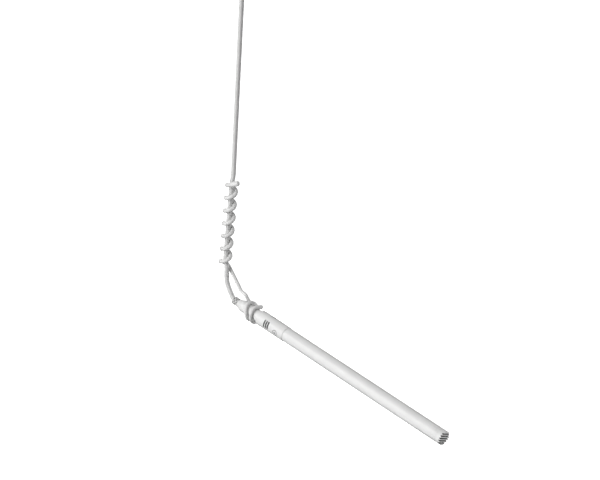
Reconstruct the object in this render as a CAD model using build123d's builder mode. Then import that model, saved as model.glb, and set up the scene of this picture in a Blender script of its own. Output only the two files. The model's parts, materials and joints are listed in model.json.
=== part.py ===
from build123d import *
from math import cos, pi, sin, radians, tan
import os

# A hanging condenser microphone with a long interference tube, on its own cable.
# The cable comes straight down out of a small ceiling fitting. A plastic-coated steel wire is wound
# round the cable, bends forward as an arm, and ends in two loops that grip the microphone's neck.
#
# Millimetres. Origin: centre of the ceiling plate's mounting face. +Z is up and the object hangs
# below. The microphone points along +X and a little down, in the XZ plane.

os.makedirs("parts", exist_ok=True)

# ---- Driving dimensions ---------------------------------------------------------------------------

CABLE_R = 2.0  # jacket of the microphone cable
WIRE_R = 1.55  # hanger wire with its plastic coat
SLEEVE_R = 1.8  # thicker sleeve on the wire, all along the coil
WIRE_GAP = 0.08  # between the hanger wire, or its sleeve, and what it is wound round
RUN_GAP = 0.05  # radial clearance of threads and running fits

MIC_TILT = 6.6  # degrees that the microphone's axis falls below the horizontal
MIC_REAR = (6.6, 0, -312.2)  # on the axis, just behind the strain relief
MIC_LENGTH = 236.0
TUBE_R = 6.1  # interference tube
BARREL_R = 6.45  # port housing
NECK_R = 5.0  # reduced neck that the wire loops sit on

# Stations along the microphone's axis, measured from that point.
BOOT_REAR = 1.6
HOUSING_REAR = 7.2  # the metal rear housing starts in front of the slotted boot
CONE_END = 11.8
BARREL_REAR = 32.0
BARREL_FRONT = 62.5
CAP_REAR = 225.9

PLATE_R = 25.0
PLATE_T = 5.0
SCREW_SPACING = 36.0
SCREW_R = 2.25
PLATE_EDGE_R = 1.6

# ---- The microphone's own planes ------------------------------------------------------------------

mic_dir = Vector(cos(radians(MIC_TILT)), 0, -sin(radians(MIC_TILT)))
mic_axis = Axis(MIC_REAR, mic_dir)
# Half section: local x runs along the axis, local y is the radius.
mic_section = Plane(origin=MIC_REAR, x_dir=mic_dir, z_dir=(0, -1, 0))


def mic_cross(station):
    """Plane across the microphone: local x is +Y, local y is the microphone's upward side."""
    return Plane(origin=mic_axis.position + mic_dir * station, x_dir=(0, 1, 0), z_dir=mic_dir)


def write(piece, label):
    piece.part.label = label
    export_step(piece.part, f"parts/{label}.step")


def turned(label, outline, section=mic_section, axis=mic_axis):
    """A turned piece: its half section revolved about the axis, as (station, radius) points."""
    with BuildPart() as piece:
        with BuildSketch(section):
            with BuildLine():
                Polyline(*outline, close=True)
            make_face()
        revolve(axis=axis)
    write(piece, label)
    return piece


def sleeve(label, start, end, inner, outer):
    """A plain ring or tube on the microphone's axis."""
    return turned(label, [(start, inner), (end, inner), (end, outer), (start, outer)])


# ---- Ceiling fitting ------------------------------------------------------------------------------

STEM_R = 6.0  # outer thread of the gland body, as a plain cylinder
STEM_TOP = 0.5  # its top is this far below the ceiling
HEX_FLATS = 15.0
FLANGE_END = PLATE_T + 4.5
GLAND_END = 22.0  # all depths below the ceiling
SEAL_TOP = 13.5
SEAL_R = 4.2
SEAL_CHAMFER = 0.8
STOP_SEAT = 7.0  # shoulder that carries the cable stop
STOP_LENGTH = 5.0
STOP_R = 2.85
STOP_BORE_R = 3.0
NUT_HEX_END = 22.5
NUT_END = 29.0
NUT_TOP = 10.5
NUT_TIP_R = 4.0

with BuildPart() as ceiling_plate:
    with BuildSketch(Plane.XY.offset(-PLATE_T)):
        Circle(PLATE_R)
    extrude(amount=PLATE_T)
    fillet(ceiling_plate.edges().filter_by(GeomType.CIRCLE).group_by(Axis.Z)[0], PLATE_EDGE_R)
    with Locations((0, 0, -PLATE_T)):
        Hole(STEM_R + RUN_GAP)
    with Locations(Plane.XY.offset(-PLATE_T).rotated((180, 0, 0))):
        with GridLocations(SCREW_SPACING, 0, 2, 1):
            CounterSinkHole(SCREW_R, 2 * SCREW_R)
write(ceiling_plate, "ceiling_plate")

with BuildPart() as gland_body:
    with BuildSketch(Plane.XY.offset(-GLAND_END)):
        Circle(STEM_R)
    extrude(amount=GLAND_END - STEM_TOP)
    with BuildSketch(Plane.XY.offset(-FLANGE_END)):
        RegularPolygon(HEX_FLATS / 2, 6, major_radius=False)
    extrude(amount=FLANGE_END - PLATE_T)
    with BuildSketch():
        Circle(STOP_BORE_R)
    extrude(amount=-STOP_SEAT, mode=Mode.SUBTRACT)
    with BuildSketch():
        Circle(CABLE_R + WIRE_GAP)
    extrude(amount=-GLAND_END, mode=Mode.SUBTRACT)
    with BuildSketch(Plane.XY.offset(-GLAND_END)):
        Circle(SEAL_R)
    extrude(amount=GLAND_END - SEAL_TOP, mode=Mode.SUBTRACT)
write(gland_body, "gland_body")

with BuildPart() as gland_seal:
    with BuildSketch(Plane.XY.offset(-GLAND_END)):
        Circle(SEAL_R - RUN_GAP)
    extrude(amount=GLAND_END - SEAL_TOP)
    chamfer(gland_seal.edges().group_by(Axis.Z)[0], SEAL_CHAMFER)
    with BuildSketch(Plane.XY.offset(-GLAND_END)):
        Circle(CABLE_R + WIRE_GAP)
    extrude(amount=GLAND_END - SEAL_TOP, mode=Mode.SUBTRACT)
write(gland_seal, "gland_seal")

with BuildPart() as gland_nut:
    with BuildSketch(Plane.XY.offset(-NUT_HEX_END)):
        RegularPolygon(HEX_FLATS / 2, 6, major_radius=False)
    extrude(amount=NUT_HEX_END - NUT_TOP)
    with BuildSketch(Plane.XY.offset(-NUT_HEX_END)):
        Circle(HEX_FLATS / 2 - 0.4)
    with BuildSketch(Plane.XY.offset(-NUT_END)):
        Circle(NUT_TIP_R)
    loft()
    with BuildSketch(Plane.XY.offset(-GLAND_END)):
        Circle(STEM_R + RUN_GAP)
    extrude(amount=GLAND_END - NUT_TOP, mode=Mode.SUBTRACT)
    with BuildSketch(Plane.XY.offset(-NUT_END)):
        Circle(CABLE_R + 2 * WIRE_GAP)
    extrude(amount=NUT_END, mode=Mode.SUBTRACT)
write(gland_nut, "gland_nut")

# Crimped on the cable, it sits on the gland body's shoulder and carries the weight.
with BuildPart() as cable_stop:
    with BuildSketch(Plane.XY.offset(-STOP_SEAT)):
        Circle(STOP_R)
        Circle(CABLE_R, mode=Mode.SUBTRACT)
    extrude(amount=STOP_LENGTH)
write(cable_stop, "cable_stop")

# ---- Cable ----------------------------------------------------------------------------------------

CABLE_TOP = (0, 0, STOP_LENGTH - STOP_SEAT)
COIL_TOP = (-1.15, 0, -206.3)  # the coil pulls the cable a little out of line
COIL_FOOT = (-4.8, 0, -284.4)  # bottom of the coil's own axis
CABLE_JOIN = (-2.6, 0, -286.1)  # the cable leaves the coil on its forward side
CABLE_IN_BOOT = 7.7  # station where the cable ends, inside the crimp ferrule


def on_mic_axis(station):
    return tuple(mic_axis.position + mic_dir * station)


upper_route = [CABLE_TOP, (0, 0, -202.3), COIL_TOP, (-4.56, 0, -279.3), (-2.95, 0, -283.3), CABLE_JOIN]
lower_route = [
    CABLE_JOIN,
    (-2.27, 0, -288.75),
    (-2.35, 0, -292.6),
    (-1.95, 0, -296.7),
    (-0.85, 0, -300.5),
    (1.0, 0, -304.1),
    (3.3, 0, -307.3),
    (5.3, 0, -310.2),
    on_mic_axis(1.5),
    on_mic_axis(CABLE_IN_BOOT),
]


def widest_radii(route):
    """For each corner, the largest arc that its two runs leave room for."""
    points = [Vector(*point) for point in route]
    radii = []
    for before, corner, after in zip(points, points[1:], points[2:]):
        arriving = corner - before
        leaving = after - corner
        half_turn = radians(arriving.get_angle(leaving)) / 2
        radii.append(0.45 * min(arriving.length, leaving.length) / tan(half_turn))
    return radii


def tube(label, route, radius):
    """A round tube along straight runs joined by tangent arcs."""
    radii = widest_radii(route)
    with BuildPart() as piece:
        with BuildLine() as path:
            FilletPolyline(*route, radius=radii)
        with BuildSketch(Plane(origin=path.wire() @ 0, z_dir=path.wire() % 0)):
            Circle(radius)
        sweep()
    expected = pi * radius**2 * path.wire().length
    print(f"{label}: length {path.wire().length:.1f}, volume {piece.part.volume:.1f} of {expected:.1f}")
    print("   arc radii", [round(value, 1) for value in radii])
    write(piece, label)
    return path.wire()


tube("cable_upper", upper_route, CABLE_R)
tube("cable_lower", lower_route, CABLE_R)

# ---- Hanger wire ----------------------------------------------------------------------------------

COIL_PITCH = 11.85
COIL_TURNS = 6.44
COIL_START = 132  # angle from +X where the arm leaves the foot of the coil
FOOT_LEAD = 2.2  # how far the wire runs straight on from the foot of the coil
COIL_R = CABLE_R + WIRE_GAP + SLEEVE_R
LOOP_R = NECK_R + WIRE_GAP + WIRE_R
END_CAP_TAPER = 2.5  # skirt of the plastic caps on the wire's two ends
POINTS_PER_TURN = 12

coil_foot = Vector(*COIL_FOOT)
coil_up = (Vector(*COIL_TOP) - coil_foot).normalized()
start_dir = (cos(radians(COIL_START)), sin(radians(COIL_START)), 0)
coil_plane = Plane(origin=coil_foot, x_dir=start_dir, z_dir=coil_up)

coil_helix = Helix(pitch=COIL_PITCH, height=COIL_PITCH * COIL_TURNS, radius=COIL_R, mode=Mode.PRIVATE)
coil_path = coil_plane.from_local_coords(coil_helix)

with BuildPart() as hanger_coil:
    with BuildLine():
        add(coil_path)
    with BuildSketch(Plane(origin=coil_path @ 0, z_dir=coil_path % 0)):
        Circle(SLEEVE_R)
    sweep(is_frenet=True)
write(hanger_coil, "hanger_coil")

LOOP_PITCH = 7.0
# Each loop's own (middle station, lean, sag): it leans forward underneath the neck.
FIRST_LOOP = (20.95, 3.8, -1.65)
SECOND_LOOP = (20.5, 2.05, -1.4)
LEAD_IN = 2.0  # how far back the arm reaches the neck, behind the first loop's own line
LOOP_FIRST = 80  # angles from the neck's top towards +Y
LOOP_SETTLED = 230
LOOP_CHANGE = (400, 580)  # from the first loop's shape to the second's
LOOP_LAST = 740
LOOP_STEP = 360 // POINTS_PER_TURN


def loop_station(angle, shape):
    """Station of a loop's centre line at this angle."""
    middle, lean, sag = shape
    turned_lean = lean * cos(radians(angle - 220)) + sag * cos(radians(angle - 310))
    return middle + LOOP_PITCH * (angle - 310) / 360 + turned_lean


def neck_point(angle):
    """Corner of the loops' polygon at this angle, whose runs touch the wire's own circle."""
    change = (angle - LOOP_CHANGE[0]) / (LOOP_CHANGE[1] - LOOP_CHANGE[0])
    share = min(1, max(0, change))
    settled = (1 - share) * loop_station(angle, FIRST_LOOP) + share * loop_station(angle, SECOND_LOOP)
    station = settled - LEAD_IN * (max(0, LOOP_SETTLED - angle) / 150) ** 2
    corner_r = LOOP_R / cos(radians(LOOP_STEP / 2))
    turn = radians(angle)
    return tuple(mic_cross(station).from_local_coords((corner_r * sin(turn), corner_r * cos(turn))))


loop_corners = [neck_point(angle) for angle in range(LOOP_FIRST, LOOP_LAST + 1, LOOP_STEP)]
arm_end = tuple((Vector(*loop_corners[0]) + Vector(*loop_corners[1])) / 2)
arm_route = [
    tuple(coil_path @ 0),
    tuple(coil_path @ 0 - coil_path % 0 * FOOT_LEAD),
    (-1.6, 4.15, -289.3),
    (1.6, 4.15, -293.45),
    (6.65, 4.15, -298.5),
    (10.9, 4.15, -303.9),
    (16.2, 4.6, -305.8),
    (17.4, 6.1, -309.6),
    loop_corners[0],
    arm_end,
]
tube("hanger_arm", arm_route, WIRE_R)
loop_path = tube("hanger_neck_loops", [arm_end, *loop_corners[1:]], WIRE_R)


def end_cap(label, point, direction, wire_r, cap_r, length):
    """The plastic cap pushed on an end of the wire, with a tapered skirt and a rounded tip."""
    across = direction.cross(Vector(0, 0, 1))
    outline = [(0, 0), (0, wire_r), (END_CAP_TAPER, cap_r), (length - 0.9, cap_r)]
    outline += [(length - 0.3, cap_r - 0.25), (length, cap_r - 0.8), (length, 0)]
    turned(label, outline, Plane(origin=point, x_dir=direction, z_dir=across), Axis(point, direction))


end_cap("coil_end_cap", coil_path @ 1, coil_path % 1, SLEEVE_R, 2.2, 8.5)
end_cap("loop_end_cap", loop_path @ 1, loop_path % 1, WIRE_R, 1.85, 3.7)

# ---- Strain relief and rear housing ---------------------------------------------------------------

BOOT_R = 3.35
GROOVE_R = 2.85
BOOT_BORE_R = CABLE_R + RUN_GAP
FERRULE_REAR = 6.4
FERRULE_FRONT = 8.4
FERRULE_R = 2.4
BOOT_FLANGE = (8.65, 10.4)
NECK_BORE_R = 4.25
SPIGOT_END = 37.6
FLEX_ROWS = 4
FLEX_FIRST = 2.1
FLEX_PITCH = 1.35
FLEX_WIDTH = 0.62
FLEX_COUNT = 6  # slots round the boot in each row
FLEX_ARC = 16  # half of each slot's arc; every other row is turned by half a space
FLEX_BOTTOM_R = 2.7

boot_outline = [
    (2.6, BOOT_BORE_R),
    (BOOT_REAR, 2.3),
    (BOOT_REAR, BOOT_R - 0.3),
    (BOOT_REAR + 0.3, BOOT_R),
    (HOUSING_REAR, BOOT_R),
    (HOUSING_REAR, GROOVE_R),
    (BOOT_FLANGE[0], GROOVE_R),
    (BOOT_FLANGE[0], 3.6),
    (BOOT_FLANGE[1], 3.6),
    (BOOT_FLANGE[1], FERRULE_R + RUN_GAP),
    (FERRULE_REAR, FERRULE_R + RUN_GAP),
    (FERRULE_REAR, BOOT_BORE_R),
]
with BuildPart() as strain_relief:
    with BuildSketch(mic_section):
        with BuildLine():
            Polyline(*boot_outline, close=True)
        make_face()
    revolve(axis=mic_axis)
    for row in range(FLEX_ROWS):
        with BuildSketch(mic_cross(FLEX_FIRST + row * FLEX_PITCH)):
            with PolarLocations(0, FLEX_COUNT, start_angle=180 / FLEX_COUNT * (row % 2)):
                flex_reach = 3 * BOOT_R
                flex_side = flex_reach * sin(radians(FLEX_ARC))
                flex_in = flex_reach * cos(radians(FLEX_ARC))
                Polygon((0, 0), (flex_in, -flex_side), (flex_in, flex_side), align=None)
            Circle(FLEX_BOTTOM_R, mode=Mode.SUBTRACT)
        extrude(amount=FLEX_WIDTH, mode=Mode.SUBTRACT)
write(strain_relief, "strain_relief")

turned(
    "rear_housing",
    [
        (HOUSING_REAR, GROOVE_R + RUN_GAP),
        (HOUSING_REAR, 3.45),
        (HOUSING_REAR + 0.2, 3.65),
        (CONE_END, NECK_R),
        (SPIGOT_END - 0.4, NECK_R),
        (SPIGOT_END, NECK_R - 0.4),
        (SPIGOT_END, NECK_BORE_R),
        (12.6, NECK_BORE_R),
        (11.4, 3.7),
        (BOOT_FLANGE[0], 3.7),
        (BOOT_FLANGE[0], GROOVE_R + RUN_GAP),
    ],
)

turned(
    "cable_ferrule",
    [
        (FERRULE_REAR, BOOT_BORE_R),
        (CABLE_IN_BOOT, BOOT_BORE_R),
        (CABLE_IN_BOOT, 1.1),
        (FERRULE_FRONT, 1.1),
        (FERRULE_FRONT, FERRULE_R),
        (FERRULE_REAR, FERRULE_R),
    ],
)

# ---- Preamplifier in the neck ---------------------------------------------------------------------

BOARD_REAR = 13.4
BOARD_FRONT = 31.0
BOARD_W = 7.4
BOARD_T = 1.0
DISC_FRONT = 33.0
mic_up = mic_cross(0).y_dir
board_top = Plane(origin=mic_axis.position + mic_up * BOARD_T / 2, x_dir=mic_dir, z_dir=mic_up)


def leads(label, count, spacing, radius, start, end):
    """Straight conductors side by side along the microphone."""
    with BuildPart() as piece:
        with BuildSketch(mic_cross(start)):
            with GridLocations(spacing, 0, count, 1):
                Circle(radius)
        extrude(amount=end - start)
    write(piece, label)


def board_parts(label, places, length, width, height):
    """Components on the board's upper face, at (station, offset) places."""
    with BuildPart() as piece:
        with BuildSketch(board_top):
            with Locations(*places):
                Rectangle(length, width)
        extrude(amount=height)
    write(piece, label)


leads("cable_leads", 3, 0.7, 0.28, CABLE_IN_BOOT, BOARD_REAR)

with BuildPart() as preamp_board:
    with BuildSketch(board_top.offset(-BOARD_T)):
        with Locations(((BOARD_REAR + BOARD_FRONT) / 2, 0)):
            Rectangle(BOARD_FRONT - BOARD_REAR, BOARD_W)
    extrude(amount=BOARD_T)
write(preamp_board, "preamp_board")

board_parts("fet_transistor", [(28.2, 0)], 2.9, 1.3, 1.0)
board_parts("board_capacitors", [(17.0, -1.4), (17.0, 1.4)], 3.5, 2.0, 1.8)
board_parts("board_resistors", [(22 + 2 * (i % 2), -2 + 2 * (i // 2)) for i in range(6)], 1.4, 0.9, 0.5)
sleeve("insulator_disc", BOARD_FRONT, DISC_FRONT, 1.8, NECK_BORE_R - RUN_GAP)

# ---- Port housing and its mesh --------------------------------------------------------------------

BARREL_BORE_R = 5.35
PORT_BORE_R = 5.95  # wider bore under the ports, where the mesh sits
PORT_BORE_END = 48.0
TUBE_BORE_R = 5.3
TUBE_SPIGOT_R = 5.6
SEAL_STATION = 57.7
SEAL_T = 0.3
PORT_STATIONS = [41.7, 43.8, 45.9]
PORT_WIDTH = 1.3
PORT_ARC = 62
PORT_GROUPS = 3
PORT_FIRST = 45  # angle of the first group from +Y towards the microphone's top

with BuildPart() as port_housing:
    with BuildSketch(mic_section):
        with BuildLine():
            Polyline(
                (BARREL_REAR, NECK_R + RUN_GAP),
                (SPIGOT_END + 0.2, NECK_R + RUN_GAP),
                (SPIGOT_END + 0.2, PORT_BORE_R),
                (PORT_BORE_END, PORT_BORE_R),
                (PORT_BORE_END, BARREL_BORE_R),
                (SEAL_STATION, BARREL_BORE_R),
                (SEAL_STATION, TUBE_SPIGOT_R + RUN_GAP),
                (BARREL_FRONT, TUBE_SPIGOT_R + RUN_GAP),
                (BARREL_FRONT, TUBE_R),
                (BARREL_FRONT - 0.35, BARREL_R),
                (BARREL_REAR + 0.5, BARREL_R),
                (BARREL_REAR, BARREL_R - 0.5),
                close=True,
            )
        make_face()
    revolve(axis=mic_axis)
    for port_station in PORT_STATIONS:
        with BuildSketch(mic_cross(port_station - PORT_WIDTH / 2)):
            with PolarLocations(0, PORT_GROUPS, start_angle=PORT_FIRST):
                half_arc = radians(PORT_ARC / 2)
                reach = 1.2 * BARREL_R / cos(half_arc)
                across = reach * sin(half_arc)
                Polygon((0, 0), (reach * cos(half_arc), -across), (reach * cos(half_arc), across), align=None)
        extrude(amount=PORT_WIDTH, mode=Mode.SUBTRACT)
write(port_housing, "port_housing")

sleeve("port_mesh", SPIGOT_END + 0.4, PORT_BORE_END, PORT_BORE_R - 0.22, PORT_BORE_R - 0.02)

# ---- Condenser capsule, from its rear to its front ------------------------------------------------

CASE_REAR = 49.0
CASE_FRONT = 55.0
CASE_R = 5.0
CASE_BORE_R = 4.7
CASE_WALL = 0.3
STACK_R = CASE_BORE_R - RUN_GAP
BOARD_SEAT = 49.9
PLATE_REAR = 52.9
PLATE_FRONT = 53.6
SPACER_FRONT = 53.8
DIAPHRAGM_FRONT = 53.95
BACKPLATE_R = 3.8

turned(
    "capsule_case",
    [
        (CASE_REAR, CASE_BORE_R),
        (CASE_FRONT - CASE_WALL, CASE_BORE_R),
        (CASE_FRONT - CASE_WALL, 1.6),
        (CASE_FRONT, 1.6),
        (CASE_FRONT, CASE_R - 0.2),
        (CASE_FRONT - 0.2, CASE_R),
        (CASE_REAR, CASE_R),
    ],
)
sleeve("capsule_gasket", CASE_REAR + 0.5, CASE_FRONT - 0.5, CASE_R, BARREL_BORE_R)


def drilled_disc(label, start, thickness, radius, hole_r, hole_circle, count):
    """A disc across the microphone with a ring of holes."""
    with BuildPart() as piece:
        with BuildSketch(mic_cross(start)):
            Circle(radius)
            with PolarLocations(hole_circle, count):
                Circle(hole_r, mode=Mode.SUBTRACT)
        extrude(amount=thickness)
    write(piece, label)


drilled_disc("capsule_board", CASE_REAR + 0.1, BOARD_SEAT - CASE_REAR - 0.1, STACK_R, 0.5, 2.6, 3)
drilled_disc("backplate", PLATE_REAR, PLATE_FRONT - PLATE_REAR, BACKPLATE_R, 0.4, 2.4, 6)
turned(
    "insulator_cup",
    [
        (BOARD_SEAT, BACKPLATE_R - 0.5),
        (PLATE_REAR, BACKPLATE_R - 0.5),
        (PLATE_REAR, BACKPLATE_R + RUN_GAP),
        (PLATE_FRONT, BACKPLATE_R + RUN_GAP),
        (PLATE_FRONT, STACK_R),
        (BOARD_SEAT, STACK_R),
    ],
)
sleeve("spacer_ring", PLATE_FRONT, SPACER_FRONT, 4.0, STACK_R)
with BuildPart() as diaphragm:
    with BuildSketch(mic_cross(SPACER_FRONT)):
        Circle(STACK_R)
    extrude(amount=DIAPHRAGM_FRONT - SPACER_FRONT)
write(diaphragm, "diaphragm")
sleeve("diaphragm_ring", DIAPHRAGM_FRONT, CASE_FRONT - CASE_WALL, 4.0, STACK_R)
leads("capsule_leads", 2, 2.0, 0.25, DISC_FRONT, CASE_REAR + 0.1)

# ---- Interference tube ----------------------------------------------------------------------------

CAP_SPIGOT = 4.0

sleeve("tube_seal", SEAL_STATION, SEAL_STATION + SEAL_T, TUBE_BORE_R - 0.2, TUBE_SPIGOT_R)
turned(
    "interference_tube",
    [
        (SEAL_STATION + SEAL_T, TUBE_BORE_R),
        (CAP_REAR, TUBE_BORE_R),
        (CAP_REAR, TUBE_R - 0.1),
        (CAP_REAR - 0.1, TUBE_R),
        (BARREL_FRONT + 0.1, TUBE_R),
        (BARREL_FRONT, TUBE_R - 0.1),
        (BARREL_FRONT, TUBE_SPIGOT_R),
        (SEAL_STATION + SEAL_T, TUBE_SPIGOT_R),
    ],
)
sleeve("damping_liner", BARREL_FRONT + 1, CAP_REAR - CAP_SPIGOT - 0.5, TUBE_BORE_R - 0.3, TUBE_BORE_R - 0.02)

# ---- Grille cap at the front ----------------------------------------------------------------------

CAP_R = 6.05
CAP_BORE_R = 5.0
GRILLE_T = 1.2
CAP_LINES = [228.3, 230.9]
LINE_W = 0.35
LINE_DEPTH = 0.15
SLOT_COUNT = 5
SLOT_PITCH = 1.96
SLOT_WIDTH = 1.0
SLOT_DEPTH = 1.35
SLOT_ANGLE = 157  # of the slots' length, from +Y towards the microphone's top

cap_outline = [
    (CAP_REAR - CAP_SPIGOT, CAP_BORE_R - 0.3),
    (CAP_REAR, CAP_BORE_R - 0.3),
    (CAP_REAR + 0.6, CAP_BORE_R),
    (MIC_LENGTH - GRILLE_T, CAP_BORE_R),
    (MIC_LENGTH - GRILLE_T, 0),
    (MIC_LENGTH, 0),
    (MIC_LENGTH, CAP_R - 0.45),
    (MIC_LENGTH - 0.13, CAP_R - 0.13),
    (MIC_LENGTH - 0.45, CAP_R),
]
for line_station in reversed(CAP_LINES):
    cap_outline += [
        (line_station + LINE_W / 2, CAP_R),
        (line_station, CAP_R - LINE_DEPTH),
        (line_station - LINE_W / 2, CAP_R),
    ]
cap_outline += [
    (CAP_REAR + 0.1, CAP_R),
    (CAP_REAR, CAP_R - 0.1),
    (CAP_REAR, TUBE_BORE_R - RUN_GAP),
    (CAP_REAR - CAP_SPIGOT, TUBE_BORE_R - RUN_GAP),
]
slot_dir = Vector(0, cos(radians(SLOT_ANGLE)), 0) + mic_up * sin(radians(SLOT_ANGLE))

with BuildPart() as grille_cap:
    with BuildSketch(mic_section):
        with BuildLine():
            Polyline(*cap_outline, close=True)
        make_face()
    revolve(axis=mic_axis)
    with BuildSketch(Plane(origin=on_mic_axis(MIC_LENGTH - SLOT_DEPTH), x_dir=slot_dir, z_dir=mic_dir)):
        with GridLocations(0, SLOT_PITCH, 1, SLOT_COUNT):
            Rectangle(3 * CAP_R, SLOT_WIDTH)
    extrude(amount=2 * SLOT_DEPTH, mode=Mode.SUBTRACT)
write(grille_cap, "grille_cap")

MESH_FRONT = MIC_LENGTH - SLOT_DEPTH - 0.05
MESH_T = 0.25
RETAINER_REAR = 232.3
FOAM_REAR = 227.5

with BuildPart() as front_mesh:
    with BuildSketch(mic_cross(MESH_FRONT - MESH_T)):
        Circle(CAP_BORE_R - 0.03)
    extrude(amount=MESH_T)
write(front_mesh, "front_mesh")
sleeve("mesh_retainer", RETAINER_REAR, MESH_FRONT - MESH_T, 4.3, CAP_BORE_R - 0.03)
with BuildPart() as front_foam:
    with BuildSketch(mic_cross(FOAM_REAR)):
        Circle(CAP_BORE_R - 0.1)
    extrude(amount=RETAINER_REAR - FOAM_REAR)
write(front_foam, "front_foam")
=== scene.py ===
import bmesh
import bpy
import json
from math import cos, pi, radians, sin, sqrt
from mathutils import Matrix, Vector


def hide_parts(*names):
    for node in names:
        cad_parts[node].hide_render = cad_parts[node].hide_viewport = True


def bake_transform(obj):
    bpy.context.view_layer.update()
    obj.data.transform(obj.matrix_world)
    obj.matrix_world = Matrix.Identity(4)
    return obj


# A hanging line microphone on its cable, held level by a bent, plastic-coated wire.
# Metres, in the CAD model's frame: the ceiling plate's mounting face is at the origin.

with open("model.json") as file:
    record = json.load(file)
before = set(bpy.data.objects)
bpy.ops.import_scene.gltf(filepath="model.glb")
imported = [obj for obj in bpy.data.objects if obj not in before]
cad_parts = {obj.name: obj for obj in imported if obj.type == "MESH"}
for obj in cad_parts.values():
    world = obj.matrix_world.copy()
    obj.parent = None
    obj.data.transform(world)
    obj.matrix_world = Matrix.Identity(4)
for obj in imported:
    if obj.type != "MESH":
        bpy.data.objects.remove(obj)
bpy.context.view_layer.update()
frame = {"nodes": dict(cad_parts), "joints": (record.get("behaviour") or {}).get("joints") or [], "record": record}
joints = {joint["name"]: joint for joint in frame["joints"]}

MM = 0.001
ACROSS = Vector((0, 1, 0))

# The microphone's axis: the point its stations are measured from, its forward direction and upward side.
mic_rear = Vector(joints["mic_roll"]["pos_m"])
mic_dir = Vector(joints["mic_roll"]["axis"]).normalized()
mic_up = mic_dir.cross(ACROSS)

CABLE_R = 2.0 * MM
WIRE_R = 1.55 * MM
SLEEVE_R = 1.8 * MM
NECK_R = 5.0 * MM
BARREL_R = 6.45 * MM
WRAP_GAP = 0.08 * MM


def on_mic(station_mm):
    return mic_rear + mic_dir * station_mm * MM


# ---- Curves and tubes -----------------------------------------------------------------------------


def spline_line(controls, order, resolution):
    """Points read from a NURBS spline with these control points."""
    curve = bpy.data.curves.new("route", "CURVE")
    curve.dimensions = "3D"
    curve.resolution_u = resolution
    spline = curve.splines.new("NURBS")
    spline.points.add(len(controls) - 1)
    for point, control in zip(spline.points, controls):
        point.co = (*control, 1)
    spline.order_u = order
    spline.use_endpoint_u = True
    holder = bpy.data.objects.new("route", curve)
    mesh = bpy.data.meshes.new_from_object(holder)
    line = [vertex.co.copy() for vertex in mesh.vertices]
    bpy.data.meshes.remove(mesh)
    bpy.data.objects.remove(holder)
    bpy.data.curves.remove(curve)
    return line


def distances(line):
    """Length along the line up to each of its points."""
    total = [0.0]
    for before, after in zip(line, line[1:]):
        total.append(total[-1] + (after - before).length)
    return total


def resampled(line, stations):
    """Points of the line at these lengths along it."""
    reached = distances(line)
    points = []
    i = 0
    for station in stations:
        while i < len(reached) - 2 and reached[i + 1] < station:
            i += 1
        span = reached[i + 1] - reached[i]
        points.append(line[i].lerp(line[i + 1], (station - reached[i]) / span))
    return points


def add_object(name, mesh):
    piece = bpy.data.objects.new(name, mesh)
    bpy.context.scene.collection.objects.link(piece)
    return piece


def tube(name, line, radii, sides):
    """A round tube along the line, with this radius at each point and closed ends."""
    count = len(line)
    shape = bmesh.new()
    tangent = (line[1] - line[0]).normalized()
    normal = tangent.orthogonal().normalized()
    rings = []
    for i, (centre, radius) in enumerate(zip(line, radii)):
        ahead = (line[min(i + 1, count - 1)] - line[max(i - 1, 0)]).normalized()
        normal = (tangent.rotation_difference(ahead) @ normal).normalized()
        tangent = ahead
        side = tangent.cross(normal)
        ring = []
        for k in range(sides):
            turn = 2 * pi * k / sides
            ring.append(shape.verts.new(centre + radius * (cos(turn) * normal + sin(turn) * side)))
        rings.append(ring)
    for ring, following in zip(rings, rings[1:]):
        for k in range(sides):
            after = (k + 1) % sides
            shape.faces.new((ring[k], ring[after], following[after], following[k]))
    shape.faces.new(list(reversed(rings[0])))
    shape.faces.new(rings[-1])
    for face in shape.faces:
        face.smooth = len(face.verts) == 4
    mesh = bpy.data.meshes.new(name)
    shape.to_mesh(mesh)
    shape.free()
    return add_object(name, mesh)


# ---- Materials ------------------------------------------------------------------------------------

# Most of a noise texture's values lie between these.
NOISE_LOW = 0.3
NOISE_HIGH = 0.7
DRIFT_SCALE = 90  # features per metre
GLOSS_DRIFT = 0.06
COAT_ROUGHNESS = 0.25


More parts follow.
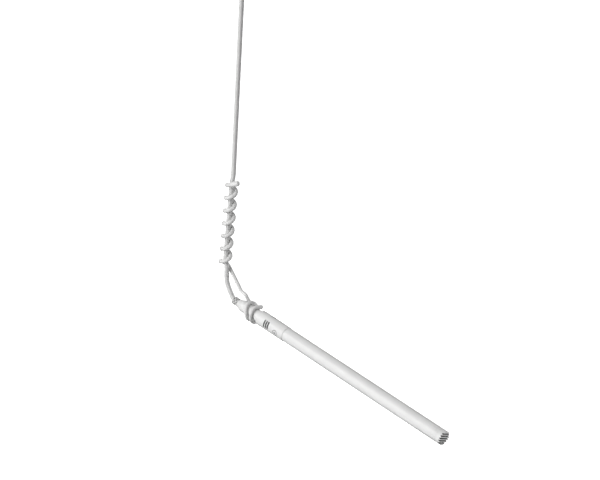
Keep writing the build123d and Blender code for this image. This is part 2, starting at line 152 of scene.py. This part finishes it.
class Nodes:
    """A small helper that adds and links shader nodes in one material."""

    def __init__(self, name):
        self.material = bpy.data.materials.new(name)
        self.material.use_nodes = True
        self.tree = self.material.node_tree
        self.shader = self.tree.nodes["Principled BSDF"]
        self.place = self.add("ShaderNodeTexCoord").outputs["Object"]

    def add(self, kind, **settings):
        node = self.tree.nodes.new(kind)
        for key, value in settings.items():
            setattr(node, key, value)
        return node

    def link(self, source, target):
        self.tree.links.new(source, target)

    def from_point(self, point):
        """The way from this point to the place on the surface."""
        node = self.add("ShaderNodeVectorMath", operation="SUBTRACT")
        self.link(self.place, node.inputs[0])
        node.inputs[1].default_value = point
        return node.outputs["Vector"]

    def noise(self, scale, detail):
        """Noise over the piece's own place; scale in features per metre."""
        node = self.add("ShaderNodeTexNoise")
        node.inputs["Scale"].default_value = scale
        node.inputs["Detail"].default_value = detail
        self.link(self.place, node.inputs["Vector"])
        return node.outputs["Fac"]

    def ramp(self, source, low, high, start=NOISE_LOW, end=NOISE_HIGH):
        """A colour that goes from low to high as the source rises."""
        node = self.add("ShaderNodeValToRGB")
        node.color_ramp.elements[0].position = start
        node.color_ramp.elements[1].position = end
        node.color_ramp.elements[0].color = (*low, 1)
        node.color_ramp.elements[1].color = (*high, 1)
        self.link(source, node.inputs["Fac"])
        return node.outputs["Color"]

    def span(self, source, low, high):
        """A noise's range stretched to low..high."""
        node = self.add("ShaderNodeMapRange")
        node.inputs["From Min"].default_value = NOISE_LOW
        node.inputs["From Max"].default_value = NOISE_HIGH
        node.inputs["To Min"].default_value = low
        node.inputs["To Max"].default_value = high
        self.link(source, node.inputs["Value"])
        return node.outputs["Result"]

    def math(self, operation, first, second=None):
        node = self.add("ShaderNodeMath", operation=operation)
        for socket, value in zip(node.inputs, (first, second)):
            if isinstance(value, (int, float)):
                socket.default_value = value
            elif value is not None:
                self.link(value, socket)
        return node.outputs["Value"]

    def dot(self, vector_socket, direction):
        node = self.add("ShaderNodeVectorMath", operation="DOT_PRODUCT")
        self.link(vector_socket, node.inputs[0])
        node.inputs[1].default_value = direction
        return node.outputs["Value"]

    def bump(self, height, depth):
        node = self.add("ShaderNodeBump")
        node.inputs["Distance"].default_value = depth
        node.inputs["Strength"].default_value = 1.0
        self.link(height, node.inputs["Height"])
        self.link(node.outputs["Normal"], self.shader.inputs["Normal"])

    def paint(self, mask, colour):
        """This colour over the base colour, where the mask is 1."""
        mix = self.add("ShaderNodeMix", data_type="RGBA")
        self.link(mask, mix.inputs["Factor"])
        self.link(self.shader.inputs["Base Color"].links[0].from_socket, mix.inputs["A"])
        mix.inputs["B"].default_value = colour
        self.link(mix.outputs["Result"], self.shader.inputs["Base Color"])


def tinted(colour, factor):
    return tuple(min(1.0, channel * factor) for channel in colour)


def surface(name, colour, roughness, grain, depth, variation=0.04, metallic=0.0, coat=0.0):
    """A moulded, painted or rubber surface: fine grain in height, soft drift in colour and gloss."""
    nodes = Nodes(name)
    drift = nodes.noise(DRIFT_SCALE, 3)
    nodes.link(nodes.ramp(drift, tinted(colour, 1 - variation), tinted(colour, 1 + variation / 2)),
               nodes.shader.inputs["Base Color"])
    fine = nodes.noise(grain, 4)
    nodes.link(nodes.span(fine, roughness - GLOSS_DRIFT, roughness + GLOSS_DRIFT),
               nodes.shader.inputs["Roughness"])
    nodes.bump(fine, depth)
    nodes.shader.inputs["Metallic"].default_value = metallic
    nodes.shader.inputs["Coat Weight"].default_value = coat
    nodes.shader.inputs["Coat Roughness"].default_value = COAT_ROUGHNESS
    return nodes


WHITE = (0.83, 0.83, 0.825)
PAINT = {"roughness": 0.36, "grain": 2600, "depth": 0.012 * MM, "coat": 0.15}
CAP_PAINT = {"roughness": 0.40, "grain": 2600, "depth": 0.012 * MM, "coat": 0.1}

# Where each piece's openings get painted shade: within this radius, from this station to that, in millimetres.
BOOT_SLOTS = (3.2, 1.95, 6.9)
REAR_PORTS = (6.3, 40, 48)
CAP_SLOTS = (5.85, 230, 235.82)
# Near-black painted shade for the walls inside the openings.
OPENING_SHADE = (0.012, 0.012, 0.012, 1)

# The barrel's index mark: a ring with a dot in its middle, at this station and angle from the top.
MARK_STATION = 54.3
MARK_ANGLE = radians(-95)
MARK_RING_R = 2.3 * MM
MARK_RING_HALF_WIDTH = 0.2 * MM
MARK_DOT_R = 0.7 * MM
MARK_REACH_DOWN = 2.0 * MM  # so the mark stays off the barrel's far side
MARK_INK = (0.10, 0.10, 0.10, 1)


def paint_opening_shade(nodes, radius_mm, start_mm, end_mm):
    """Painted shade: near-black over slot and port walls between these stations, whatever lies inside this radius.
    """
    offset = nodes.from_point(mic_rear)
    reach = nodes.add("ShaderNodeVectorMath", operation="LENGTH")
    nodes.link(offset, reach.inputs[0])
    along = nodes.dot(offset, mic_dir)
    reach_squared = nodes.math("MULTIPLY", reach.outputs["Value"], reach.outputs["Value"])
    radial_squared = nodes.math("SUBTRACT", reach_squared, nodes.math("MULTIPLY", along, along))
    inside = nodes.math("LESS_THAN", radial_squared, (radius_mm * MM) ** 2)
    between = nodes.math("MULTIPLY", nodes.math("GREATER_THAN", along, start_mm * MM),
                         nodes.math("LESS_THAN", along, end_mm * MM))
    nodes.paint(nodes.math("MULTIPLY", inside, between), OPENING_SHADE)
    return nodes


def printed_and_port_shaded_paint(name):
    """The barrel's paint, with a plain printed ring and dot as an index mark, and painted shade inside its rear
    ports.
    """
    nodes = surface(name, WHITE, **PAINT)
    outward = mic_up * cos(MARK_ANGLE) + ACROSS * sin(MARK_ANGLE)
    round_the_barrel = mic_dir.cross(outward)
    offset = nodes.from_point(on_mic(MARK_STATION) + outward * BARREL_R)
    along = nodes.dot(offset, mic_dir)
    around = nodes.dot(offset, round_the_barrel)
    outside = nodes.dot(offset, outward)
    along_squared = nodes.math("MULTIPLY", along, along)
    around_squared = nodes.math("MULTIPLY", around, around)
    distance = nodes.math("SQRT", nodes.math("ADD", along_squared, around_squared))
    off_the_ring = nodes.math("ABSOLUTE", nodes.math("SUBTRACT", distance, MARK_RING_R))
    ring = nodes.math("LESS_THAN", off_the_ring, MARK_RING_HALF_WIDTH)
    dot = nodes.math("LESS_THAN", distance, MARK_DOT_R)
    this_side = nodes.math("GREATER_THAN", outside, -MARK_REACH_DOWN)
    mask = nodes.math("MULTIPLY", nodes.math("MAXIMUM", ring, dot), this_side)
    nodes.paint(mask, MARK_INK)
    # Painted shade over the rear ports' walls.
    return paint_opening_shade(nodes, *REAR_PORTS)


def woven(name, colour, pitch, metallic):
    """A fine square weave in height, its colour darker in the hollows and lighter on the crests as painted shade
    and highlight.
    """
    nodes = surface(name, colour, 0.45, 4000, 0.005 * MM, metallic=metallic)
    waves = []
    for direction in (ACROSS, mic_dir, mic_up):
        position = nodes.dot(nodes.place, direction)
        waves.append(nodes.math("SINE", nodes.math("MULTIPLY", position, 2 * pi / pitch)))
    height = nodes.math("ADD", nodes.math("MAXIMUM", waves[0], waves[1]), waves[2])
    nodes.bump(height, 0.05 * MM)
    # Painted shade in the weave's hollows and painted highlight on its crests.
    shade = nodes.ramp(height, tinted(colour, 0.35), tinted(colour, 1.3), 0.0, 1.0)
    nodes.link(shade, nodes.shader.inputs["Base Color"])
    return nodes


finishes = {
    "white_paint": surface("white_paint", WHITE, **PAINT),
    "grille_paint": surface("grille_paint", WHITE, **CAP_PAINT),
    "wire_coat": surface("wire_coat", (0.79, 0.79, 0.785), 0.42, 900, 0.03 * MM, variation=0.06),
    "cable_jacket": surface("cable_jacket", (0.71, 0.71, 0.705), 0.5, 1500, 0.02 * MM, variation=0.05),
    "boot_rubber": surface("boot_rubber", (0.66, 0.66, 0.655), 0.65, 3000, 0.02 * MM),
    "fitting_enamel": surface("fitting_enamel", WHITE, 0.33, 2000, 0.015 * MM, coat=0.2),
    "gland_nylon": surface("gland_nylon", (0.78, 0.78, 0.77), 0.48, 2500, 0.02 * MM),
    "seal_rubber": surface("seal_rubber", (0.03, 0.03, 0.03), 0.7, 3000, 0.02 * MM),
    "crimp_brass": surface("crimp_brass", (0.72, 0.52, 0.25), 0.3, 3000, 0.01 * MM, metallic=1.0),
    "lead_copper": surface("lead_copper", (0.5, 0.08, 0.06), 0.4, 3000, 0.01 * MM),
    "circuit_board": surface("circuit_board", (0.03, 0.16, 0.08), 0.4, 4000, 0.01 * MM, variation=0.2),
    "black_chip": surface("black_chip", (0.02, 0.02, 0.02), 0.5, 4000, 0.01 * MM),
    "capacitor_yellow": surface("capacitor_yellow", (0.72, 0.42, 0.05), 0.45, 4000, 0.01 * MM),
    "insulator": surface("insulator", (0.78, 0.75, 0.66), 0.5, 3000, 0.01 * MM),
    "steel_mesh": woven("steel_mesh", (0.02, 0.02, 0.021), 0.36 * MM, 0.0),
    "capsule_metal": surface("capsule_metal", (0.72, 0.72, 0.73), 0.3, 3500, 0.01 * MM, metallic=1.0),
    "backplate_brass": surface("backplate_brass", (0.75, 0.58, 0.30), 0.3, 3500, 0.01 * MM, metallic=1.0),
    "film": surface("film", (0.8, 0.8, 0.82), 0.15, 3000, 0.002 * MM, metallic=1.0),
    "felt": woven("felt", (0.06, 0.06, 0.06), 0.5 * MM, 0.0),
    "foam": surface("foam", (0.03, 0.03, 0.03), 0.9, 2500, 0.12 * MM, variation=0.5),
}
slot_of = {entry["node"]: entry["material_slot"] for entry in frame["record"]["subparts"]}
# A darker copy of the boot rubber: its whole tone is lowered as painted shade for its many small slots.
boot = surface("boot", (0.58, 0.58, 0.575), 0.65, 3000, 0.02 * MM)
barrel = printed_and_port_shaded_paint("printed_and_port_shaded_paint")
cap = surface("cap_paint", WHITE, **CAP_PAINT)
# These three also get painted shade over the walls inside their slots and ports.
own_finish = {
    "strain_relief": paint_opening_shade(boot, *BOOT_SLOTS),
    "port_housing": barrel,
    "grille_cap": paint_opening_shade(cap, *CAP_SLOTS),
}


def finish_of(node):
    return own_finish.get(node, finishes[slot_of[node]]).material


for name, node in frame["nodes"].items():
    node.data.materials.clear()
    node.data.materials.append(finish_of(name))


def finished(piece, slot):
    piece.data.materials.append(finishes[slot].material)


# ---- Cable ----------------------------------------------------------------------------------------

# Sides around the cable's tube.
CABLE_SIDES = 28

cable_route = [
    (0, 0, -0.002),
    (0, 0, -0.190),
    (0, 0, -0.2023),
    (-0.00115, 0, -0.2063),
    (-0.001463, 0, -0.213),
    (-0.004127, 0, -0.270),
    (-0.00456, 0, -0.2793),
    (-0.00295, 0, -0.2833),
    (-0.0026, 0, -0.2861),
    (-0.00227, 0, -0.28875),
    (-0.00235, 0, -0.2926),
    (-0.00195, 0, -0.2967),
    (-0.00085, 0, -0.3005),
    (0.0010, 0, -0.3041),
    (0.0033, 0, -0.3073),
    (0.0053, 0, -0.3102),
    tuple(on_mic(1.5)),
    tuple(on_mic(7.7)),
]


def make_cable():
    line = spline_line(cable_route, order=3, resolution=24)
    cable = tube("cable", line, [CABLE_R] * len(line), CABLE_SIDES)
    finished(cable, "cable_jacket")
    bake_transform(cable)
    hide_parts("cable_upper", "cable_lower")


# ---- Hanger wire ----------------------------------------------------------------------------------

COIL_PITCH = 11.85 * MM
COIL_R = CABLE_R + WRAP_GAP + SLEEVE_R
COIL_TURNS = 6.44
COIL_FOOT = Vector((-4.8, 0, -284.4)) * MM
COIL_TOP = Vector((-1.15, 0, -206.3)) * MM
FOOT_ANGLE = 132
LOOP_R = NECK_R + WRAP_GAP + WIRE_R
TURN_POINTS = 24
CUBIC_SHRINK = (2 + cos(2 * pi / TURN_POINTS)) / 3  # a cubic spline's circle against its controls'
COIL_CAP = 8.5 * MM
COIL_CAP_R = 2.2 * MM
LOOP_CAP = 3.7 * MM
LOOP_CAP_R = 1.85 * MM
CAP_SKIRT = 2.5 * MM
SLEEVE_TAPER = 0.4 * MM
FOOT_LEAD = 2.2 * MM
END_ROUNDING = 0.9 * MM
END_INSET = 0.8 * MM
END_RINGS = 8
RING_SPACING = 0.35 * MM
WIRE_SIDES = 20
SMALL_TURN = 0.01  # from here to an end of the coil gives the wire's direction there
SMALL_ANGLE = 4  # the same for the loops' end, in degrees

# Each loop's middle station, lean and sag, in millimetres: it leans forward underneath the neck.
FIRST_LOOP = (20.95, 3.8, -1.65)
SECOND_LOOP = (20.5, 2.05, -1.4)
LOOP_PITCH = 7.0

# Angles along the loops, in degrees from the neck's top towards +Y.
LOOP_FIRST = 80
LOOP_LAST = 740
LEAN_ANGLE = 220
MIDDLE_ANGLE = 310
SECOND_FROM = 400  # the second loop's shape takes over from here, over half a turn
SECOND_OVER = 180
ENTRY_END = 230  # before this the wire comes in from further back
ENTRY_OVER = 150
ENTRY_BACK = 2.0  # millimetres

arm_route = [
    (-0.0016, 0.00415, -0.2893),
    (0.0016, 0.00415, -0.29345),
    (0.00665, 0.00415, -0.2985),
    (0.00983, 0.00415, -0.30255),
    (0.0109, 0.00415, -0.3039),
    (0.01249, 0.00429, -0.30447),
    (0.01461, 0.00447, -0.30523),
    (0.0162, 0.0046, -0.3058),
    (0.01656, 0.00505, -0.30694),
    (0.0174, 0.0061, -0.3096),
]


def coil_point(turns):
    """Control point of the coil, counted in turns up from its foot."""
    up = (COIL_TOP - COIL_FOOT).normalized()
    right = ACROSS.cross(up)
    angle = radians(FOOT_ANGLE) + 2 * pi * turns
    radius = COIL_R / CUBIC_SHRINK
    return COIL_FOOT + up * COIL_PITCH * turns + radius * (cos(angle) * right + sin(angle) * ACROSS)


def loop_station(angle, shape):
    """Station of a loop's centre line at this angle, in millimetres."""
    middle, lean, sag = shape
    sway = lean * cos(radians(angle - LEAN_ANGLE)) + sag * cos(radians(angle - MIDDLE_ANGLE))
    return middle + LOOP_PITCH * (angle - MIDDLE_ANGLE) / 360 + sway


def neck_point(angle):
    """Control point of the neck loops at this angle from the neck's top towards +Y."""
    share = min(1, max(0, (angle - SECOND_FROM) / SECOND_OVER))
    settled = (1 - share) * loop_station(angle, FIRST_LOOP) + share * loop_station(angle, SECOND_LOOP)
    station = settled - ENTRY_BACK * (max(0, ENTRY_END - angle) / ENTRY_OVER) ** 2
    turn = radians(angle)
    return on_mic(station) + LOOP_R / CUBIC_SHRINK * (sin(turn) * ACROSS + cos(turn) * mic_up)


def straight_end(point, before, length):
    """Control points that carry the wire straight on for this length."""
    direction = (point - before).normalized()
    return [point + direction * length * share for share in (0.15, 0.4, 0.7, 1.0)]


def capped_radius(distance, cap, cap_r, wire_r):
    """The wire's radius this far from an end whose plastic cap is this long."""
    if distance < END_ROUNDING:
        return cap_r - END_INSET * (1 - sqrt(1 - (1 - distance / END_ROUNDING) ** 2))
    skirt = min(1.0, max(0.0, (distance - cap + CAP_SKIRT) / CAP_SKIRT))
    return cap_r + (wire_r - cap_r) * skirt


def wire_radius(station, sleeve_end, total):
    """The wire's radius at this length along it: cap, sleeved coil, plain wire, cap."""
    if station < sleeve_end:
        return capped_radius(station, COIL_CAP, COIL_CAP_R, SLEEVE_R)
    plain = capped_radius(total - station, LOOP_CAP, LOOP_CAP_R, WIRE_R)
    left_of_sleeve = max(0.0, 1 - (station - sleeve_end) / SLEEVE_TAPER)
    return plain + (SLEEVE_R - WIRE_R) * left_of_sleeve


def make_hanger():
    steps = round(COIL_TURNS * TURN_POINTS)
    coil = [coil_point(COIL_TURNS * i / steps) for i in range(steps, -1, -1)]
    coil_end = straight_end(coil[0], coil_point(COIL_TURNS - SMALL_TURN), COIL_CAP)
    foot_lead = straight_end(coil[-1], coil_point(SMALL_TURN), FOOT_LEAD)
    arm = [Vector(point) for point in arm_route]
    loops = [neck_point(angle) for angle in range(LOOP_FIRST, LOOP_LAST + 1, 360 // TURN_POINTS)]
    loop_end = straight_end(neck_point(LOOP_LAST), neck_point(LOOP_LAST - SMALL_ANGLE), LOOP_CAP)
    controls = coil_end[::-1] + coil + foot_lead[-1:] + arm + loops + loop_end
    smooth = spline_line(controls, order=4, resolution=8)
    total = distances(smooth)[-1]
    near_end = [END_ROUNDING * (1 - cos(pi / 2 * i / END_RINGS)) for i in range(END_RINGS)]
    between = total - 2 * END_ROUNDING
    middle_count = round(between / RING_SPACING)
    middle = [END_ROUNDING + between * i / middle_count for i in range(middle_count + 1)]
    stations = near_end + middle + [total - station for station in reversed(near_end)]
    line = resampled(smooth, stations)
    coil_length = COIL_TURNS * sqrt((2 * pi * COIL_R) ** 2 + COIL_PITCH**2)
    radii = [wire_radius(station, COIL_CAP + coil_length, total) for station in stations]
    wire = tube("hanger_wire", line, radii, WIRE_SIDES)
    finished(wire, "wire_coat")
    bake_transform(wire)
    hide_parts("hanger_coil", "coil_end_cap", "hanger_arm", "hanger_neck_loops", "loop_end_cap")


make_cable()
make_hanger()

# ---- Stage ----------------------------------------------------------------------------------------

VIEW_AZIMUTH = radians(42.1)
VIEW_ELEVATION = radians(27.0)
VIEW_ROLL = radians(3.45)
VIEW_DISTANCE = 2.2
VIEW_AIM = Vector((0.0767, 0, -0.2296))
LENS = 165.6
SENSOR = 36.0
FLOOR_Z = -1.0
FLOOR_HALF = 12
FLOOR_WHITE = 0.9
SKY_STRENGTH = 0.66
SKY_START = -0.14  # the sky is dark below this, as the upward part of a direction

to_camera = Vector((sin(VIEW_AZIMUTH) * cos(VIEW_ELEVATION),
                    -cos(VIEW_AZIMUTH) * cos(VIEW_ELEVATION),
                    sin(VIEW_ELEVATION)))
level_right = Vector((cos(VIEW_AZIMUTH), sin(VIEW_AZIMUTH), 0))
level_up = to_camera.cross(level_right)
view_right = level_right * cos(VIEW_ROLL) + level_up * sin(VIEW_ROLL)
view_up = level_up * cos(VIEW_ROLL) - level_right * sin(VIEW_ROLL)


def make_camera():
    data = bpy.data.cameras.new("camera")
    data.lens = LENS
    data.sensor_width = SENSOR
    camera = add_object("camera", data)
    facing = Matrix((view_right, view_up, to_camera)).transposed().to_4x4()
    camera.matrix_world = Matrix.Translation(VIEW_AIM + to_camera * VIEW_DISTANCE) @ facing
    bpy.context.scene.camera = camera


def area_light(name, right, up, toward, distance, size, power, target=VIEW_AIM):
    """A soft light, placed by its direction from the target as seen from the camera's side."""
    direction = (view_right * right + view_up * up + to_camera * toward).normalized()
    data = bpy.data.lights.new(name, "AREA")
    data.shape = "DISK"
    data.size = size
    data.energy = power
    light = add_object(name, data)
    light.location = target + direction * distance
    light.rotation_mode = "QUATERNION"
    light.rotation_quaternion = (-direction).to_track_quat("-Z", "Y")
    light.visible_camera = False


def make_floor():
    shape = bmesh.new()
    bmesh.ops.create_grid(shape, x_segments=4, y_segments=4, size=FLOOR_HALF)
    mesh = bpy.data.meshes.new("floor")
    shape.to_mesh(mesh)
    shape.free()
    floor = add_object("floor", mesh)
    floor.location.z = FLOOR_Z
    nodes = surface("floor_white", (FLOOR_WHITE,) * 3, 0.8, 60, 0.1 * MM, variation=0.0)
    nodes.shader.inputs["Emission Color"].default_value = (1, 1, 1, 1)
    nodes.shader.inputs["Emission Strength"].default_value = 1.0
    mesh.materials.append(nodes.material)
    floor.visible_diffuse = False
    floor.visible_glossy = False


def make_world():
    """Soft room light, brighter from above. The camera sees it as plain white."""
    world = bpy.data.worlds.new("world")
    world.use_nodes = True
    tree = world.node_tree
    tree.nodes.clear()
    place = tree.nodes.new("ShaderNodeTexCoord")
    parts = tree.nodes.new("ShaderNodeSeparateXYZ")
    height = tree.nodes.new("ShaderNodeMapRange")
    height.inputs["From Min"].default_value = SKY_START
    height.inputs["From Max"].default_value = 1.0
    height.inputs["To Min"].default_value = 0.0
    height.inputs["To Max"].default_value = SKY_STRENGTH
    lit = tree.nodes.new("ShaderNodeBackground")
    seen = tree.nodes.new("ShaderNodeBackground")
    seen.inputs["Color"].default_value = (1, 1, 1, 1)
    rays = tree.nodes.new("ShaderNodeLightPath")
    mix = tree.nodes.new("ShaderNodeMixShader")
    output = tree.nodes.new("ShaderNodeOutputWorld")
    tree.links.new(place.outputs["Generated"], parts.inputs["Vector"])
    tree.links.new(parts.outputs["Z"], height.inputs["Value"])
    tree.links.new(height.outputs["Result"], lit.inputs["Strength"])
    tree.links.new(rays.outputs["Is Camera Ray"], mix.inputs["Fac"])
    tree.links.new(lit.outputs["Background"], mix.inputs[1])
    tree.links.new(seen.outputs["Background"], mix.inputs[2])
    tree.links.new(mix.outputs["Shader"], output.inputs["Surface"])
    bpy.context.scene.world = world


make_camera()
make_floor()
make_world()
# Direction (right, up, toward the camera), then distance and size in metres, and power in watts.
area_light("key", -0.74, 0.20, 0.66, 1.5, 1.4, 18.5)
area_light("low", -0.72, -0.72, 0.15, 1.5, 1.2, 13)
area_light("back", 0.1, -0.1, -0.99, 1.5, 1.2, 10)
area_light("rim", 0.86, -0.08, -0.50, 1.5, 0.9, 6)
area_light("front", 0.92, -0.38, 0.10, 0.4, 0.3, 0.6, target=on_mic(236))
bpy.context.scene.view_settings.view_transform = "Standard"
